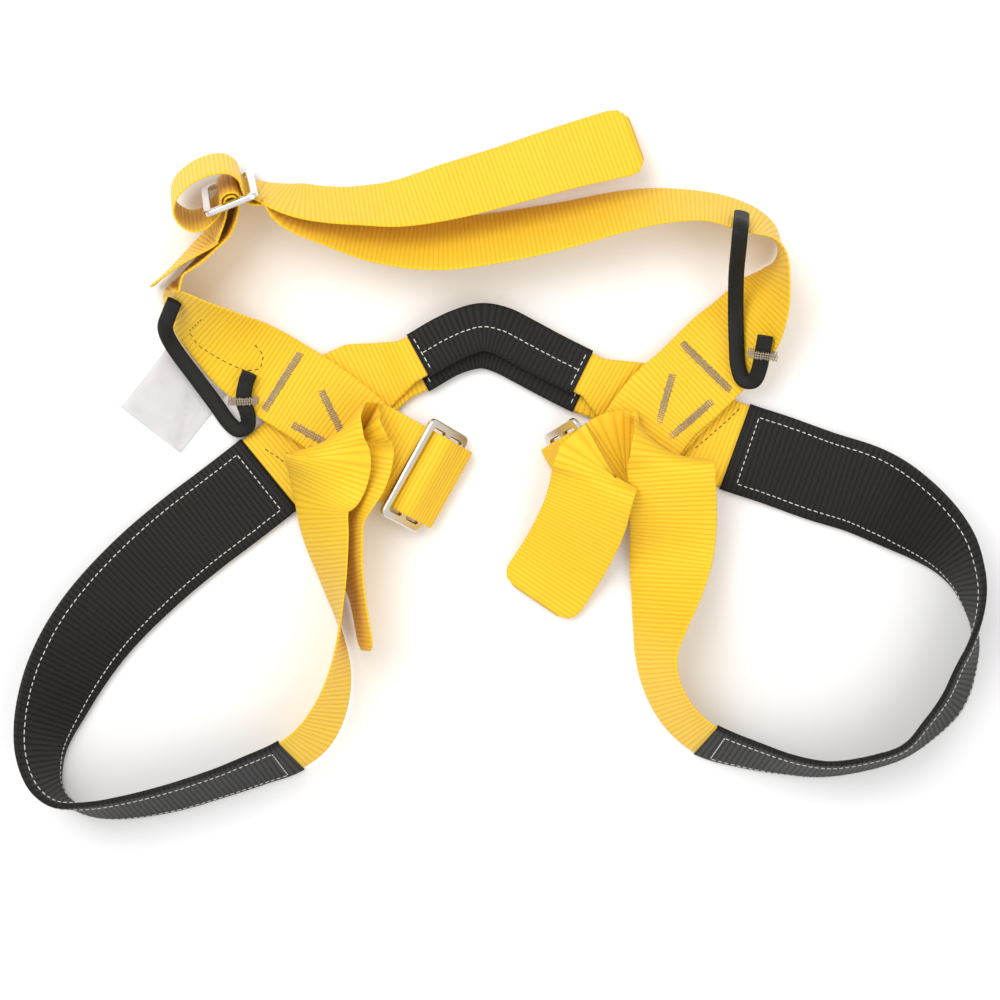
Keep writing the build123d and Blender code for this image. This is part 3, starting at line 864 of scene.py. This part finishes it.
tack = {
    "radius": 0.25 * mm,
    "pitch": 0.58 * mm,
    "wander": 0.6 * mm,
    "slip": 0.15 * mm,
    "leans": (-0.6, 1.1),  # in pitches, turn about
    "least": 0.4,  # how far a stitch may pass the bar's edge, to how far it may fall short
    "rows": 3,
    "rowSpread": 0.3,
    "rowSink": 0.1 * mm,
    "square": 0.02,
}


def barLegs(spots):  # the long, wide and upright edges of a bar, from its corners
    centre = sum(spots, Vector()) / len(spots)
    corner = max(spots, key=lambda p: (p - centre).length)
    places = {tuple(round(x, 7) for x in p) for p in spots}
    others = sorted(places, key=lambda p: (Vector(p) - corner).length)
    legs = []
    for p in others[1:]:
        leg = Vector(p) - corner
        way = leg.normalized()
        if all(abs(way.dot(other.normalized())) < tack["square"] for other in legs):
            legs.append(leg)
        if len(legs) == 3:
            break
    long = max(legs, key=lambda leg: leg.length)
    rest = [leg for leg in legs if leg is not long]
    up = max(rest, key=lambda leg: abs(leg.normalized().z))
    wide = [leg for leg in rest if leg is not up][0]
    return centre, long, wide, up if up.z > 0 else -up


def tackRuns(cadName, seed):  # dense zigzag thread over both faces of a bar of stitching
    draw = random.Random(seed)
    spots = [vert.co.copy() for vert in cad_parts[cadName].data.vertices]
    centre, long, wide, up = barLegs(spots)
    ahead, aside, out = long.normalized(), wide.normalized(), up.normalized()
    least = tack["least"]
    steps = int(long.length / tack["pitch"])
    runs = []
    for way in (1, -1):
        face = centre + up * 0.5 * way - out * way * tack["radius"]
        for k in range(steps):
            slide = (k + 0.5) / steps - 0.5
            a = face + long * slide + wide * 0.5 + ahead * draw.uniform(-1, 1) * tack["slip"]
            b = face + long * slide - wide * 0.5 + ahead * tack["pitch"] * tack["leans"][k % 2]
            a += aside * draw.uniform(-1, least) * tack["wander"]
            b += aside * draw.uniform(-least, 1) * tack["wander"]
            runs.append((a, b, up * way))
        for k in range(tack["rows"]):
            middle = face + wide * (k - 1) * tack["rowSpread"] - out * way * tack["rowSink"]
            runs.append((middle - long * 0.5, middle + long * 0.5, up * way))
    return runs


bars = sorted(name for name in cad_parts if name.startswith("bartack"))
for seed, cadName in enumerate(bars):
    name, runs = dashed(cadName) + "-thread", tackRuns(cadName, seed)
    threadRuns(name, runs, tack["radius"], tackThread, stands=[cadName])
print("bars of stitching sewn")

gearLoop = {
    "sides": 20,
    "width": 8.0 * mm,
    "height": 3.0 * mm,
    "widthSlack": 0.6 * mm,
    "oval": 0.8,
    "weaveRound": 2.2 * mm,
    "capFaces": 8,
    "ringCorners": 12,
    "flat": (0.99999, 0.01 * mm),  # how alike two faces of the flat end are
}


def endFaces(bm):  # the flat end of a gear loop's solid
    alike, level = gearLoop["flat"]
    farthest = layersFrom([bm.verts[0]])[-1][0]
    for face in farthest.link_faces:
        flat = [
            other
            for other in bm.faces
            if other.normal.dot(face.normal) > alike
            and abs((other.calc_center_median() - farthest.co).dot(face.normal)) < level
        ]
        if len(flat) >= gearLoop["capFaces"]:
            return flat


def widest(ring):  # the two points of a ring that lie farthest apart
    pairs = ((p, q) for i, p in enumerate(ring) for q in ring[i + 1 :])
    return max(pairs, key=lambda pair: (pair[0] - pair[1]).length)


def gearLoopMesh(cadName):  # the narrow tube of a gear loop, from its solid's own rings
    bm = welded(cadName)
    start = placed({vert for face in endFaces(bm) for vert in face.verts})
    layers = [[vert.co.copy() for vert in ring] for ring in layersFrom(start)]
    bm.free()
    edges = []
    for ring in layers:
        if len(ring) < gearLoop["ringCorners"]:
            continue
        a, b = widest(ring)
        if edges and (b - a).dot(edges[-1][1] - edges[-1][0]) < 0:
            a, b = b, a
        if abs((b - a).length - gearLoop["width"]) < gearLoop["widthSlack"]:
            edges.append((a, b, gearLoop["height"] / 2))
    strip = Strip(edges)
    rings, marks = [], []
    for i, along in enumerate(strip.along):
        ring, mark = [], []
        for k in range(gearLoop["sides"]):
            t = 2 * math.pi * k / gearLoop["sides"]
            u = math.cos(t) * gearLoop["width"] / 2
            v = flattened(math.sin(t), gearLoop["oval"]) * gearLoop["height"] / 2
            ring.append(strip.at(i, u, v))
            mark.append((along, t * gearLoop["weaveRound"]))
        rings.append(ring)
        marks.append(mark)
    return loopedMesh(cadName, rings, marks, True)


for cadName in ("gear_loop_left", "gear_loop_right"):
    mesh = gearLoopMesh(cadName)
    addPiece(dashed(cadName) + "-tube", mesh, blackTube, stands=[cadName])
print("gear loops made")

label = {
    "thickness": 0.25 * mm,
    "curl": 0.6 * mm,
    "ripple": 0.1 * mm,
    "rippleTurns": (5, 3),
    "clear": 0.15 * mm,  # above the underside of its solid
    "cells": 24,
}


def labelMesh():  # a square of pale cloth, curled a little along one edge
    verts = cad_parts["size_label"].data.vertices
    spots = sorted({tuple(round(x, 7) for x in vert.co) for vert in verts})
    low = min(p[2] for p in spots)
    base = [Vector(p) for p in spots if p[2] < low + 0.1 * mm]
    corner = base[0]
    legs = sorted((b - corner for b in base[1:]), key=lambda leg: leg.length)[:2]
    count = label["cells"]
    turnsU, turnsV = label["rippleTurns"]
    bm = bmesh.new()

    def cellCorner(u, v):
        lift = label["curl"] * (1 - u) ** 3 + label["clear"]
        lift += label["ripple"] * math.sin(turnsU * u + turnsV * v)
        return bm.verts.new(corner + legs[0] * u + legs[1] * v + Vector((0, 0, lift)))

    steps = [i / count for i in range(count + 1)]
    grid = [[cellCorner(u, v) for v in steps] for u in steps]
    for row, nextRow in zip(grid, grid[1:]):
        for j in range(count):
            bm.faces.new((row[j], nextRow[j], nextRow[j + 1], row[j + 1]))
    bmesh.ops.solidify(bm, geom=bm.faces[:], thickness=label["thickness"])
    bmesh.ops.recalc_face_normals(bm, faces=bm.faces)
    mesh = bpy.data.meshes.new("label")
    bm.to_mesh(mesh)
    bm.free()
    for polygon in mesh.polygons:
        polygon.use_smooth = True
    return mesh


labelPiece = addPiece("label-cloth", labelMesh(), labelCloth, stands=["size_label"])
print("label made")

for cadName in ("leg_buckle_left", "leg_buckle_right", "waist_buckle"):
    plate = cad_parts[cadName].data
    plate.materials.clear()
    plate.materials.append(steel)
    for polygon in plate.polygons:
        polygon.use_smooth = True
print("buckles finished")
